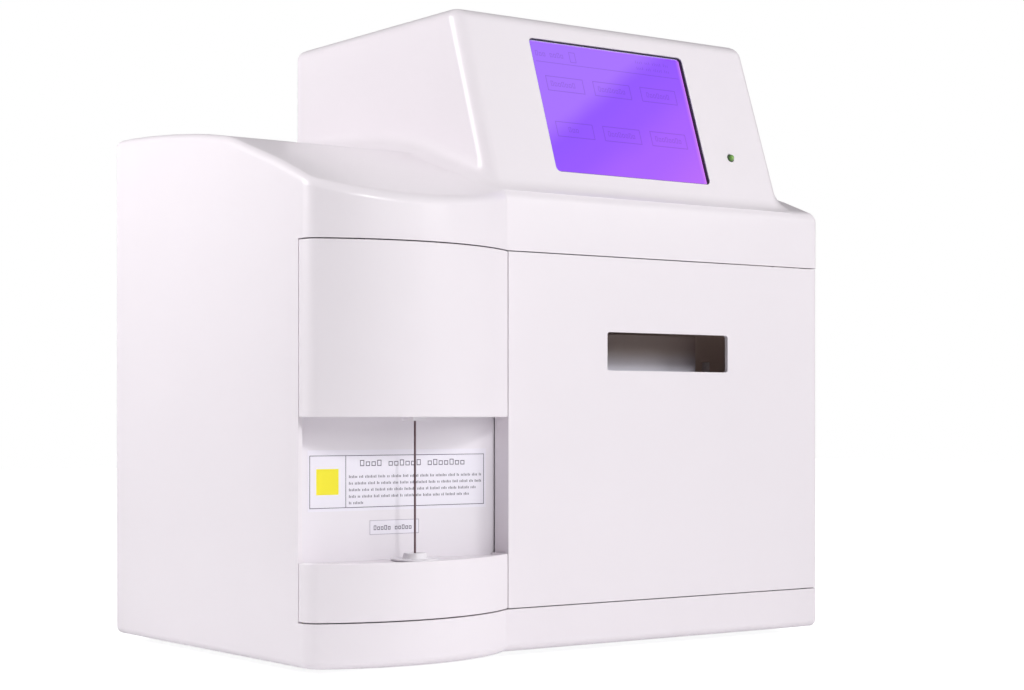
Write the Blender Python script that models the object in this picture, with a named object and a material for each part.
"""Bench-top electrolyte analyzer, modelled as the pieces that it comes apart into.

Frame: metres, +Z up, +X to the right of someone facing the front, front towards -Y.
The origin is on the bench, under the middle of the analyzer's bounding box.
"""

from math import atan, cos, hypot, pi, radians, sin, sqrt, tan

import bmesh
import bpy
from mathutils import Matrix, Vector

MM = 0.001

# Casing
BODY_WIDTH = 379.0 * MM
BODY_DEPTH = 225.5 * MM
BULGE_SAGITTA = 24.5 * MM
BULGE_HALF_CHORD = 71.7 * MM
BULGE_APEX_INSET = 63.0 * MM
FOOT_HEIGHT = 4.0 * MM
SKIRT_HEIGHT = 24.2 * MM
LEDGE_HEIGHT = 54.7 * MM
BAY_TOP_HEIGHT = 133.0 * MM
BROW_HEIGHT = 227.5 * MM
BROW_TOP_HEIGHT = 261.5 * MM
SHOULDER_HEIGHT = 303.5 * MM
WALL = 2.5 * MM
CORNER_RADIUS = 11.0 * MM
RIGHT_CORNER_RADIUS = 4.0 * MM
BACK_CORNER_RADIUS = 2.0 * MM
LEAST_CORNER_RADIUS = 0.3 * MM
TOP_EDGE_RADIUS = 5.0 * MM
BOTTOM_EDGE_RADIUS = 4.5 * MM
RETURN_LIP = 8.0 * MM
SEAM = 0.6 * MM
SEAT_GAP = 0.3 * MM
OVERRUN = 6.0 * MM
SIDE_SEAM_DEPTH = 3.5 * MM

# Display tower
TOWER_HEIGHT = 372.2 * MM
TOWER_OVERHANG = 6.7 * MM
TOWER_RIGHT_INSET = 23.0 * MM
TOWER_SETBACK = 44.3 * MM
TOWER_DRAFT = 1.0 * MM
TOWER_CORNER_RADIUS = 8.5 * MM
TOWER_TOP_RADIUS = 6.5 * MM
SIDE_FLARE = 14.0 * MM
FRONT_FLARE = 5.5 * MM
FLARE_SINK = 0.4 * MM
FACE_LEAN_SHARE = 0.3412

# Screen, light and their stack behind the leaning face
SCREEN_WIDTH = 119.7 * MM
SCREEN_OFFSET = 3.65 * MM
SCREEN_TOP_MARGIN = 13.37 * MM
SCREEN_BOTTOM_MARGIN = 14.97 * MM
SCREEN_CORNER_RADIUS = 3.0 * MM
GASKET_WIDTH = 5.0 * MM
GASKET_THICKNESS = 0.8 * MM
TOUCH_MARGIN = 4.0 * MM
TOUCH_THICKNESS = 1.8 * MM
TOUCH_RECESS = 2.0 * MM
TOUCH_GAP = 0.9 * MM
LINER_GAP = 0.1 * MM
LINER_WALL = 0.5 * MM
LINER_DROP = 0.5 * MM
LCD_MARGIN = 6.0 * MM
LCD_THICKNESS = 10.5 * MM
LED_OUTWARD_SHARE = 0.386
LED_DROP_SHARE = 0.2557
LED_RADIUS = 2.5 * MM
LED_COLLAR = 1.0 * MM
LED_STAND = 0.8 * MM
LED_LENGTH = 9.0 * MM

# Front door
BAY_WIDTH = 134.7 * MM
DOOR_SHEET = 2.5 * MM
DOOR_FLANGE_DEPTH = 13.4 * MM
DOOR_SIDE_INSET = 0.3 * MM
SLOT_OFFSET = 2.45 * MM
SLOT_WIDTH = 94.7 * MM
SLOT_BOTTOM_HEIGHT = 160.4 * MM
SLOT_RISE = 22.6 * MM
SLOT_CORNER_RADIUS = 1.5 * MM
PIVOT_INSET = 6.0 * MM
PIVOT_SETBACK = 6.7 * MM
PIN_RADIUS = 2.0 * MM
PIN_CLEARANCE = 0.08 * MM
BUSH_WALL = 1.0 * MM
BUSH_LENGTH = 3.6 * MM
HINGE_SHEET = 2.0 * MM
HINGE_LEAF_WIDTH = 22.0 * MM
HINGE_LEAF_RISE = 10.0 * MM
HINGE_ARM_HALF_WIDTH = 3.0 * MM
DOOR_SWING_CLEARANCE = 0.4 * MM

# Door frame, catch and chassis
FRAME_SHEET = 1.5 * MM
FRAME_STILE = 13.0 * MM
FRAME_RAIL = 10.0 * MM
FRAME_REACH = 12.0 * MM
PARTITION_INSET = 1.3 * MM
BULKHEAD_DEPTH = 73.5 * MM
CHASSIS_SHEET = 1.5 * MM
MAGNET_WIDTH = 8.0 * MM
MAGNET_RISE = 18.0 * MM
STRIKE_THICKNESS = 1.0 * MM
STRIKE_MARGIN = 1.5 * MM

# Sample bay
PANEL_DEPTH = 14.4 * MM
PANEL_SHEET = 1.6 * MM
LEDGE_RIM = 1.2 * MM
LEDGE_RIM_WIDTH = 1.6 * MM
COVER_FLOOR = 2.5 * MM
PROBE_INSET = 70.0 * MM
PROBE_SETBACK = 2.4 * MM
PROBE_RADIUS = 0.6 * MM
PROBE_CLEARANCE = 0.25 * MM
PROBE_TIP_DROP = 4.0 * MM
PROBE_STROKE = 80.0 * MM
HUB_RADIUS = 2.6 * MM
HUB_LENGTH = 9.0 * MM
GUIDE_WIDTH = 8.6 * MM
GUIDE_DEPTH = 11.0 * MM
GUIDE_DROP = 2.0 * MM
GUIDE_FLANGE = 2.0 * MM
GUIDE_FLANGE_THICKNESS = 1.6 * MM
GUIDE_SHIFT = 1.2 * MM
CUP_RADIUS = 7.0 * MM
CUP_STAND = 4.0 * MM
CUP_DROP = 9.0 * MM
CUP_FLANGE_RADIUS = 13.0 * MM
CUP_FLANGE_THICKNESS = 0.9 * MM
CUP_WELL_RADIUS = 3.2 * MM
CUP_WELL_DEPTH = 10.0 * MM

# Sampler drive
SAMPLER_INSET = 32.0 * MM
SAMPLER_WIDTH = 56.0 * MM
SAMPLER_SHEET = 2.5 * MM
SAMPLER_REACH = 38.0 * MM
SAMPLER_TOP_HEIGHT = 253.0 * MM
SCREW_AXIS_DEPTH = 38.5 * MM
SCREW_RADIUS = 3.0 * MM
SCREW_COLLAR_RADIUS = 5.0 * MM
SCREW_COLLAR_HEIGHT = 4.0 * MM
GUIDE_ROD_RADIUS = 3.0 * MM
GUIDE_ROD_SPREAD = 19.0 * MM
ROD_CLEARANCE = 0.08 * MM
CARRIAGE_HEIGHT = 148.0 * MM
CARRIAGE_RISE = 10.0 * MM
CARRIAGE_HALF_WIDTH = 26.0 * MM
CARRIAGE_HALF_DEPTH = 9.0 * MM
ARM_HALF_WIDTH = 4.5 * MM
ARM_NOSE = 6.0 * MM
MOTOR_SIZE = 35.0 * MM
MOTOR_RISE = 28.0 * MM
MOTOR_CORNER = 4.0 * MM
MOTOR_SHAFT_RADIUS = 2.0 * MM

# Measuring unit
BLOCK_LEFT_MARGIN = 7.4 * MM
BLOCK_WIDTH = 106.6 * MM
BLOCK_BOTTOM_HEIGHT = 92.0 * MM
BLOCK_TOP_HEIGHT = 183.6 * MM
BLOCK_FACE_DEPTH = 35.0 * MM
ELECTRODE_COUNT = 5
ELECTRODE_WIDTH = 16.4 * MM
ELECTRODE_RISE = 46.0 * MM
ELECTRODE_DEPTH = 22.0 * MM
ELECTRODE_STAND = 6.0 * MM
ELECTRODE_CAP_RADIUS = 5.5 * MM
ELECTRODE_CAP_LENGTH = 5.0 * MM
POCKET_MARGIN = 5.0 * MM
LATCH_WIDTH = 6.4 * MM
LATCH_LENGTH = 30.0 * MM
LATCH_PIVOT_RADIUS = 1.5 * MM
LATCH_EYE_RADIUS = 4.5 * MM
LATCH_SETBACK = 2.2 * MM
VALVE_INSET = 32.8 * MM
VALVE_LOW_HEIGHT = 116.0 * MM
VALVE_PITCH = 40.0 * MM
VALVE_RADIUS = 11.0 * MM
VALVE_LENGTH = 34.0 * MM
VALVE_FOOT = 3.0 * MM
VALVE_NOSE_RADIUS = 5.0 * MM
VALVE_NOSE_LENGTH = 6.0 * MM

# Pump
PUMP_INSET = 39.5 * MM
PUMP_HEIGHT = 125.0 * MM
PUMP_HALF_WIDTH = 28.0 * MM
PUMP_FACE_DEPTH = 31.0 * MM
PUMP_RECESS = 20.0 * MM
PUMP_TUBE_CENTRE_RADIUS = 21.2 * MM
PUMP_TUBE_RADIUS = 2.4 * MM
PUMP_TUBE_BORE = 1.4 * MM
PUMP_TUBE_TOP_HEIGHT = 167.8 * MM
PUMP_TUBE_SETBACK = 8.0 * MM
ROLLER_RADIUS = 4.5 * MM
ROLLER_COUNT = 3
ROLLER_LENGTH = 12.0 * MM
ROTOR_DISC_RADIUS = 16.0 * MM
ROTOR_DISC_THICKNESS = 2.0 * MM
PUMP_SHAFT_RADIUS = 3.0 * MM
PUMP_MOTOR_RADIUS = 18.0 * MM
PUMP_MOTOR_LENGTH = 42.0 * MM
PUMP_MOTOR_FLANGE = 3.0 * MM
PUMP_SHAFT_IN_MOTOR = 12.0 * MM

# Reagent pack and waste bottle
PACK_INSET = 12.8 * MM
PACK_GAP = 6.0 * MM
PACK_RISE = 74.0 * MM
PACK_FACE_DEPTH = 24.0 * MM
PACK_EDGE = 3.0 * MM
PORT_RADIUS = 6.0 * MM
PORT_RISE = 7.0 * MM
PORT_COUNT = 3
BOTTLE_WIDTH = 78.0 * MM
BOTTLE_INSET = 13.5 * MM
BOTTLE_RISE = 62.0 * MM
BOTTLE_EDGE = 6.0 * MM
BOTTLE_CAP_RADIUS = 11.0 * MM
BOTTLE_CAP_RISE = 12.0 * MM

# Base plate and feet
BASE_SHEET = 1.5 * MM
FOOT_SIDE_INSET = 27.5 * MM
FOOT_FRONT_DEPTH = 41.0 * MM
FOOT_BACK_INSET = 18.0 * MM
FOOT_RADIUS = 7.0 * MM
FOOT_TAPER = 1.0 * MM

# Electrics
BOARD_INSET = 13.5 * MM
BOARD_RIGHT = -10.0 * MM
BOARD_FRONT = -8.0 * MM
BOARD_BACK = 104.0 * MM
BOARD_THICKNESS = 1.6 * MM
STANDOFF_RISE = 7.0 * MM
STANDOFF_RADIUS = 3.0 * MM
STANDOFF_INSET = 7.0 * MM
CHIP_SIZE = 22.0 * MM
CHIP_RISE = 3.0 * MM
CHIP_SINK = 0.5 * MM
CHIP_PITCH = 38.0 * MM
SOCKET_WIDTH = 34.0 * MM
SOCKET_DEPTH = 7.0 * MM
SOCKET_RISE = 6.0 * MM
RIBBON_WIDTH = 28.0 * MM
RIBBON_THICKNESS = 1.0 * MM
RIBBON_BACK = 6.0 * MM
RIBBON_DROP = 17.65 * MM
SUPPLY_LEFT = 30.0 * MM
SUPPLY_INSET = 29.5 * MM
SUPPLY_DEPTH = 78.0 * MM
SUPPLY_RISE = 40.0 * MM
SUPPLY_BACK_GAP = 34.0 * MM
VENT_COUNT = 6
VENT_WIDTH = 3.0 * MM
VENT_PITCH = 9.0 * MM
VENT_LENGTH = 44.0 * MM
VENT_DEPTH = 2.0 * MM

# Rear panel and what it carries
REAR_SHEET = 1.5 * MM
REAR_LAP = 8.0 * MM
REAR_TOP_HEIGHT = 282.0 * MM
REAR_MARGIN = 14.0 * MM
FAN_X = -60.0 * MM
FAN_HEIGHT = 190.0 * MM
FAN_SIZE = 60.0 * MM
FAN_DEPTH = 20.0 * MM
FAN_BORE_RADIUS = 28.0 * MM
FAN_HUB_RADIUS = 11.0 * MM
FAN_HUB_DEPTH = 14.0 * MM
FAN_BLADE_COUNT = 7
FAN_BLADE_THICKNESS = 1.4 * MM
FAN_BLADE_CLEARANCE = 0.8 * MM
FAN_SPOKE_WIDTH = 4.0 * MM
FAN_SPOKE_THICKNESS = 3.0 * MM
FAN_SHAFT_RADIUS = 1.5 * MM
GRILLE_SLOT_WIDTH = 3.0 * MM
GRILLE_PITCH = 7.0 * MM
GRILLE_SLOT_COUNT = 7
INLET_INSET = 61.5 * MM
INLET_HEIGHT = 96.0 * MM
INLET_WIDTH = 27.0 * MM
INLET_RISE = 20.0 * MM
INLET_FLANGE = 5.0 * MM
INLET_FLANGE_THICKNESS = 2.0 * MM
INLET_DEPTH = 26.0 * MM
INLET_WALL = 2.0 * MM
INLET_CORNER = 2.0 * MM
BLADE_WIDTH = 2.0 * MM
BLADE_RISE = 4.0 * MM
BLADE_SPREAD = 7.0 * MM
ROCKER_SPREAD = 46.0 * MM
ROCKER_HOUSING_WIDTH = 17.0 * MM
ROCKER_HOUSING_RISE = 24.0 * MM
ROCKER_WALL = 2.0 * MM
ROCKER_CLEARANCE = 0.5 * MM
ROCKER_REACH = 9.0 * MM
ROCKER_PIVOT_DEPTH = 3.0 * MM
ROCKER_BACK_RISE = 7.0 * MM
ROCKER_STAND = 0.3 * MM
ROCKER_TILT_SHARE = 0.26
PORT_INSET = 69.5 * MM
PORT_HEIGHT = 96.0 * MM
PORT_WIDTH = 31.0 * MM
PORT_PLATE_RISE = 12.5 * MM
PORT_SHELL_WIDTH = 18.0 * MM
PORT_SHELL_RISE = 9.0 * MM
PORT_SHELL_REACH = 2.4 * MM
PORT_BODY_DEPTH = 10.0 * MM
SCREW_HEAD_RADIUS = 3.5 * MM
SCREW_HEAD_RISE = 1.8 * MM
SCREW_SHANK_RADIUS = 1.5 * MM
SCREW_SHANK_LENGTH = 7.0 * MM
SCREW_INSET = 13.0 * MM

# Top line of the casing from the door's plane to the back: share of the depth, share of the rise
TOP_LINE_SHARES = (
    (0.03, 0.064), (0.12, 0.248), (0.21, 0.408), (0.29, 0.544), (0.345, 0.646), (0.385, 0.704),
    (0.43, 0.743), (0.50, 0.800), (0.58, 0.852), (0.68, 0.907), (0.80, 0.958), (0.93, 0.995),
)
# Share of the rise that the top line gains over each share of the depth, in front of its first point
TOP_LINE_FRONT_SLOPE_SHARE = 2.2

CORNER_STEPS = 6
ARC_STEPS = 26
EDGE_STEPS = 5
ROUND_SEGMENTS = 28
SMALL_ROUND_SEGMENTS = 16

# Places that follow from the sizes
HALF_WIDTH = BODY_WIDTH / 2
BACK_Y = (BODY_DEPTH + BULGE_SAGITTA) / 2
FRONT_Y = BACK_Y - BODY_DEPTH
BULGE_X = BULGE_APEX_INSET - HALF_WIDTH
BULGE_RADIUS = (BULGE_HALF_CHORD ** 2 + BULGE_SAGITTA ** 2) / (2 * BULGE_SAGITTA)
BULGE_CENTRE_Y = FRONT_Y - BULGE_SAGITTA + BULGE_RADIUS
BASE_Z = FOOT_HEIGHT
SKIRT_Z = BASE_Z + SKIRT_HEIGHT
LEDGE_Z = BASE_Z + LEDGE_HEIGHT
BAY_TOP_Z = BASE_Z + BAY_TOP_HEIGHT
BROW_Z = BASE_Z + BROW_HEIGHT
SHOULDER_Z = BASE_Z + SHOULDER_HEIGHT
TOWER_Z = BASE_Z + TOWER_HEIGHT
LEAN = atan(FACE_LEAN_SHARE)
FLOOR_Z = BASE_Z + WALL + SEAT_GAP
DECK_Z = FLOOR_Z + BASE_SHEET
INSIDE_X = HALF_WIDTH - WALL - SEAT_GAP
SIDE_SEAM_Y = FRONT_Y + SIDE_SEAM_DEPTH
PANEL_Y = FRONT_Y + PANEL_DEPTH
DOOR_LEFT = BAY_WIDTH - HALF_WIDTH
DOOR_RIGHT = HALF_WIDTH - DOOR_SIDE_INSET
SLOT_LEFT = (DOOR_LEFT + DOOR_RIGHT - SLOT_WIDTH) / 2 - SLOT_OFFSET
TOWER_LEFT = DOOR_LEFT - TOWER_OVERHANG
TOWER_RIGHT = HALF_WIDTH - TOWER_RIGHT_INSET
SCREEN_CENTRE_X = (TOWER_LEFT + TOWER_RIGHT) / 2 - SCREEN_OFFSET
SCREEN_FACE_RISE = TOWER_HEIGHT - SCREEN_TOP_MARGIN - BROW_TOP_HEIGHT - SCREEN_BOTTOM_MARGIN
SCREEN_RISE = SCREEN_FACE_RISE / cos(LEAN)
SCREEN_CENTRE_HEIGHT = BROW_TOP_HEIGHT + SCREEN_BOTTOM_MARGIN + SCREEN_FACE_RISE / 2
SCREEN_RIGHT = SCREEN_CENTRE_X + SCREEN_WIDTH / 2
LED_X = SCREEN_RIGHT + (TOWER_RIGHT - SCREEN_RIGHT) * LED_OUTWARD_SHARE
LED_HEIGHT = SCREEN_CENTRE_HEIGHT - SCREEN_RISE * LED_DROP_SHARE
DOOR_BACK_Y = FRONT_Y + DOOR_FLANGE_DEPTH
PIVOT_X = DOOR_RIGHT - PIVOT_INSET
PIVOT_Y = FRONT_Y + PIVOT_SETBACK
FRAME_Y = PIVOT_Y + hypot(PIVOT_INSET, DOOR_FLANGE_DEPTH - PIVOT_SETBACK) + DOOR_SWING_CLEARANCE
BULKHEAD_Y = FRONT_Y + BULKHEAD_DEPTH
BULKHEAD_BACK_Y = BULKHEAD_Y + CHASSIS_SHEET
PARTITION_X = DOOR_LEFT + PARTITION_INSET
CATCH_X = DOOR_LEFT + SEAM / 2 + DOOR_SHEET + SEAT_GAP + STRIKE_MARGIN + MAGNET_WIDTH / 2
PROBE_X = PROBE_INSET - HALF_WIDTH
PROBE_Y = FRONT_Y - PROBE_SETBACK
SAMPLER_LEFT = SAMPLER_INSET - HALF_WIDTH
SAMPLER_RIGHT = SAMPLER_LEFT + SAMPLER_WIDTH
SCREW_X = (SAMPLER_LEFT + SAMPLER_RIGHT) / 2
SCREW_Y = FRONT_Y + SCREW_AXIS_DEPTH
SAMPLER_Z = BAY_TOP_Z + COVER_FLOOR + SEAT_GAP
REAR_Y = BACK_Y - WALL - SEAT_GAP - REAR_SHEET
BLOCK_LEFT = SLOT_LEFT - BLOCK_LEFT_MARGIN
BLOCK_RIGHT = BLOCK_LEFT + BLOCK_WIDTH
VALVE_X = DOOR_LEFT + VALVE_INSET
PUMP_X = HALF_WIDTH - PUMP_INSET
BOTTLE_RIGHT = HALF_WIDTH - BOTTLE_INSET
BOTTLE_LEFT = BOTTLE_RIGHT - BOTTLE_WIDTH
PACK_LEFT = DOOR_LEFT + PACK_INSET
PACK_RIGHT = BOTTLE_LEFT - PACK_GAP
FOOT_X = HALF_WIDTH - FOOT_SIDE_INSET
BOARD_LEFT = BOARD_INSET - HALF_WIDTH
RIBBON_TOP_HEIGHT = SCREEN_CENTRE_HEIGHT - RIBBON_DROP
SUPPLY_RIGHT = HALF_WIDTH - SUPPLY_INSET
INLET_X = HALF_WIDTH - INLET_INSET
ROCKER_X = INLET_X - ROCKER_SPREAD
PORT_X = PORT_INSET - HALF_WIDTH


def top_z(y):
    """Height of the casing's curved top at this depth."""
    rise = SHOULDER_HEIGHT - BROW_TOP_HEIGHT
    share = (y - FRONT_Y) / BODY_DEPTH
    first = TOP_LINE_SHARES[0]
    if share <= first[0]:
        risen = first[1] + (share - first[0]) * TOP_LINE_FRONT_SLOPE_SHARE
        return BASE_Z + BROW_TOP_HEIGHT + rise * risen
    points = TOP_LINE_SHARES + ((1.0, 1.0),)
    for (low, low_rise), (high, high_rise) in zip(points, points[1:]):
        if share <= high:
            risen = low_rise + (high_rise - low_rise) * (share - low) / (high - low)
            return BASE_Z + BROW_TOP_HEIGHT + rise * risen
    return SHOULDER_Z


def face_y(z):
    """Depth of the tower's leaning face at this height."""
    return FRONT_Y + TOWER_SETBACK - FACE_LEAN_SHARE * (TOWER_Z - z)


def clear_scene():
    for thing in list(bpy.data.objects):
        bpy.data.objects.remove(thing)


def make_material(name, colour, roughness, metallic=0.0):
    material = bpy.data.materials.new(name)
    material.use_nodes = True
    shader = material.node_tree.nodes["Principled BSDF"]
    shader.inputs["Base Color"].default_value = (*colour, 1.0)
    shader.inputs["Roughness"].default_value = roughness
    shader.inputs["Metallic"].default_value = metallic
    return material


def make_materials():
    names = {
        "shell": ((0.87, 0.82, 0.86), 0.35, 0.0),
        "cover": ((0.87, 0.82, 0.86), 0.35, 0.0),
        "white_plastic": ((0.85, 0.83, 0.86), 0.45, 0.0),
        "clear_pack": ((0.78, 0.80, 0.82), 0.3, 0.0),
        "screen": ((0.36, 0.15, 0.95), 0.15, 0.0),
        "black": ((0.02, 0.02, 0.02), 0.5, 0.0),
        "rubber": ((0.04, 0.04, 0.04), 0.8, 0.0),
        "light": ((0.05, 0.35, 0.05), 0.2, 0.0),
        "steel": ((0.55, 0.55, 0.56), 0.35, 1.0),
        "zinc": ((0.62, 0.63, 0.64), 0.45, 1.0),
        "aluminium": ((0.72, 0.72, 0.73), 0.4, 1.0),
        "board": ((0.02, 0.18, 0.08), 0.5, 0.0),
        "ribbon": ((0.45, 0.45, 0.47), 0.6, 0.0),
        "silicone": ((0.75, 0.72, 0.68), 0.35, 0.0),
        "electrode": ((0.30, 0.32, 0.36), 0.3, 0.0),
    }
    return {name: make_material(name, *values) for name, values in names.items()}


def add_object(name, bm, material=None):
    """Turn a bmesh into a named object, shaded smooth except at its sharp edges."""
    bmesh.ops.recalc_face_normals(bm, faces=bm.faces)
    mesh = bpy.data.meshes.new(name)
    bm.to_mesh(mesh)
    bm.free()
    if material:
        mesh.materials.append(material)
    mesh.shade_smooth()
    mesh.set_sharp_from_angle(angle=radians(30))
    thing = bpy.data.objects.new(name, mesh)
    bpy.context.scene.collection.objects.link(thing)
    return thing


def loft(name, rings, material=None, top_faces=None):
    """Closed skin through rings of equally many points, with flat caps or given top faces."""
    bm = bmesh.new()
    rows = [[bm.verts.new(point) for point in ring] for ring in rings]
    count = len(rows[0])
    for low, high in zip(rows, rows[1:]):
        for i in range(count):
            j = (i + 1) % count
            bm.faces.new((low[i], low[j], high[j], high[i]))
    bm.faces.new(list(reversed(rows[0])))
    if top_faces is None:
        bm.faces.new(rows[-1])
    else:
        for face in top_faces:
            bm.faces.new([rows[-1][i] for i in face])
    return add_object(name, bm, material)


def prism(name, outline, low, high, material=None, axis="Z"):
    """An outline extruded between two places on an axis."""
    places = {
        "Z": lambda a, b, c: (a, b, c),
        "Y": lambda a, b, c: (a, c, b),
        "X": lambda a, b, c: (c, a, b),
    }[axis]
    rings = [[places(a, b, c) for a, b in outline] for c in (low, high)]
    return loft(name, rings, material)


def box(name, low, high, material=None, edge=0, steps=2):
    """A block between two corners, its edges rounded where a size is given."""
    bm = bmesh.new()
    bmesh.ops.create_cube(bm, size=1)
    size = Vector(high) - Vector(low)
    middle = (Vector(high) + Vector(low)) / 2
    bmesh.ops.transform(bm, matrix=Matrix.Translation(middle) @ Matrix.Diagonal((*size, 1)), verts=bm.verts)
    if edge:
        bmesh.ops.bevel(bm, geom=bm.edges[:], offset=edge, segments=steps, profile=0.5, affect="EDGES")
    return add_object(name, bm, material)


def ring_points(centre, radius, count, start=0.0):
    return [
        (centre[0] + radius * cos(start + 2 * pi * i / count), centre[1] + radius * sin(start + 2 * pi * i / count))
        for i in range(count)
    ]


def rod(name, centre, radius, low, high, material=None, axis="Z", count=SMALL_ROUND_SEGMENTS):
    """A round bar along an axis. The centre is given on the other two axes, in X, Y, Z order."""
    return prism(name, ring_points(centre, radius, count), low, high, material, axis)


def turned(name, centre, profile, material=None, axis="Z", count=ROUND_SEGMENTS):
    """A turned piece: the profile lists radius and place along the axis."""
    places = {
        "Z": lambda a, b, c: (a, b, c),
        "Y": lambda a, b, c: (a, c, b),
        "X": lambda a, b, c: (c, a, b),
    }[axis]
    rings = []
    for radius, place in profile:
        rings.append([places(a, b, place) for a, b in ring_points(centre, radius, count)])
    return loft(name, rings, material)


def rounded_rectangle(x0, x1, y0, y1, radius, steps=3):
    points = []
    corners = ((x1 - radius, y1 - radius, 0), (x0 + radius, y1 - radius, 1), (x0 + radius, y0 + radius, 2),
               (x1 - radius, y0 + radius, 3))
    for cx, cy, quarter in corners:
        for i in range(steps + 1):
            angle = (quarter + i / steps) * pi / 2
            points.append((cx + radius * cos(angle), cy + radius * sin(angle)))
    return points


def combine(target, other, operation):
    modifier = target.modifiers.new(operation.lower() + "_" + other.name, "BOOLEAN")
    modifier.operation = operation
    modifier.object = other
    modifier.solver = "EXACT"
    other.hide_render = True
    other.display_type = "WIRE"
    return target


def subtract(target, *cutters):
    for cutter in cutters:
        combine(target, cutter, "DIFFERENCE")
    return target


def join(target, *others):
    for other in others:
        combine(target, other, "UNION")
    return target


def add_axis(name, place, pieces):
    """An empty on a joint's axis that carries the pieces that move with it."""
    empty = bpy.data.objects.new(name, None)
    empty.location = place
    bpy.context.scene.collection.objects.link(empty)
    for piece in pieces:
        piece.parent = empty
        piece.matrix_parent_inverse = Matrix.Translation(-Vector(place))
    return empty


def on_face(thing, x, z):
    """Place a piece modelled in the tower face's frame: +Y inwards, +Z up the face."""
    thing.location = (x, face_y(z), z)
    thing.rotation_euler = (-LEAN, 0, 0)
    return thing


def arc_points(cx, cy, radius, start, end, steps):
    return [
        (cx + radius * cos(start + (end - start) * i / steps), cy + radius * sin(start + (end - start) * i / steps))
        for i in range(steps + 1)
    ]


def front_path(inset, steps=ARC_STEPS):
    """Plan of the bulged front from the left wall to the flat front, inset by a wall."""
    corner = max(CORNER_RADIUS - inset, LEAST_CORNER_RADIUS)
    radius = BULGE_RADIUS - inset
    cx = inset + corner - HALF_WIDTH
    cy = BULGE_CENTRE_Y - sqrt((radius - corner) ** 2 - (cx - BULGE_X) ** 2)
    meet = pi + atan((BULGE_CENTRE_Y - cy) / (BULGE_X - cx))
    drop = BULGE_CENTRE_Y - FRONT_Y - inset
    end_x = BULGE_X + sqrt(radius ** 2 - drop ** 2)
    end = 2 * pi - atan(drop / (end_x - BULGE_X))
    corner_part = arc_points(cx, cy, corner, pi, meet, CORNER_STEPS)
    return corner_part + arc_points(BULGE_X, BULGE_CENTRE_Y, radius, meet, end, steps)[1:]


def casing_plan(inset):
    """Plan of the casing, counter-clockwise from the left end of the back."""
    levels = [FRONT_Y + BODY_DEPTH * share for share, _ in TOP_LINE_SHARES]
    back = max(BACK_CORNER_RADIUS - inset, LEAST_CORNER_RADIUS)
    right = max(RIGHT_CORNER_RADIUS - inset, LEAST_CORNER_RADIUS)
    side = HALF_WIDTH - inset
    points = arc_points(back - side, BACK_Y - inset - back, back, pi / 2, pi, CORNER_STEPS)
    points += [(-side, y) for y in reversed(levels)]
    points += front_path(inset)
    points += arc_points(side - right, FRONT_Y + inset + right, right, -pi / 2, 0, CORNER_STEPS)
    points += [(side, y) for y in levels]
    points += arc_points(side - back, BACK_Y - inset - back, back, 0, pi / 2, CORNER_STEPS)
    return points


def casing_top_faces():
    """Strips across the casing's top between the levels of its curved line."""
    level_count = len(TOP_LINE_SHARES)
    first_left = CORNER_STEPS + 1
    front_count = CORNER_STEPS + ARC_STEPS + 1 + CORNER_STEPS + 1
    first_right = first_left + level_count + front_count
    total = first_right + level_count + CORNER_STEPS + 1
    faces = [list(range(first_left + level_count - 1, first_right + 1))]
    for step in range(level_count - 1):
        left = first_left + level_count - 1 - step
        right = first_right + step
        faces.append([left - 1, left, right, right + 1])
    back = list(range(0, first_left + 1)) + list(range(first_right + level_count - 1, total))
    faces.append(back)
    return faces


def casing_body(name, material):
    """The outer form without the tower, with its top and bottom edges rounded."""
    rings = []
    for step in range(EDGE_STEPS + 1):
        angle = pi / 2 * step / EDGE_STEPS
        inset = BOTTOM_EDGE_RADIUS * (1 - sin(angle))
        z = BASE_Z + BOTTOM_EDGE_RADIUS * (1 - cos(angle))
        rings.append([(x, y, z) for x, y in casing_plan(inset)])
    for step in range(EDGE_STEPS + 1):
        angle = pi / 2 * step / EDGE_STEPS
        inset = TOP_EDGE_RADIUS * (1 - cos(angle))
        drop = TOP_EDGE_RADIUS * (1 - sin(angle))
        rings.append([(x, y, top_z(y) - drop) for x, y in casing_plan(inset)])
    return loft(name, rings, material, casing_top_faces())


def casing_void():
    """The space inside the casing's walls, under the curved top."""
    plan = casing_plan(WALL)
    rings = [
        [(x, y, BASE_Z + WALL) for x, y in plan],
        [(x, y, top_z(y) - WALL) for x, y in plan],
    ]
    return loft("casing_void", rings, None, casing_top_faces())


def tower_plan(z, inset):
    """Plan of the tower at a height, with the outward direction at each point."""
    share = (z - BASE_Z - BROW_TOP_HEIGHT) / (TOWER_HEIGHT - BROW_TOP_HEIGHT)
    left = TOWER_LEFT + inset
    right = TOWER_RIGHT - TOWER_DRAFT * share - inset
    front = face_y(z) + inset / cos(LEAN)
    back = BACK_Y - inset
    corner = max(TOWER_CORNER_RADIUS - inset, LEAST_CORNER_RADIUS)
    back_corner = max(BACK_CORNER_RADIUS - inset, LEAST_CORNER_RADIUS)
    corners = (
        (left + back_corner, back - back_corner, back_corner, pi / 2),
        (left + corner, front + corner, corner, pi),
        (right - corner, front + corner, corner, 3 * pi / 2),
        (right - back_corner, back - back_corner, back_corner, 2 * pi),
    )
    levels = len(TOP_LINE_SHARES)
    points = []
    for index, (cx, cy, radius, start) in enumerate(corners):
        for step in range(CORNER_STEPS + 1):
            angle = start + pi / 2 * step / CORNER_STEPS
            points.append((cx + radius * cos(angle), cy + radius * sin(angle), cos(angle), sin(angle)))
        if index in (0, 2):
            target = corners[index + 1]
            for step in range(1, levels):
                y = cy + (target[1] - cy) * step / levels
                side = -1.0 if index == 0 else 1.0
                points.append((points[-1][0], y, side, 0.0))
    return points


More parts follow.
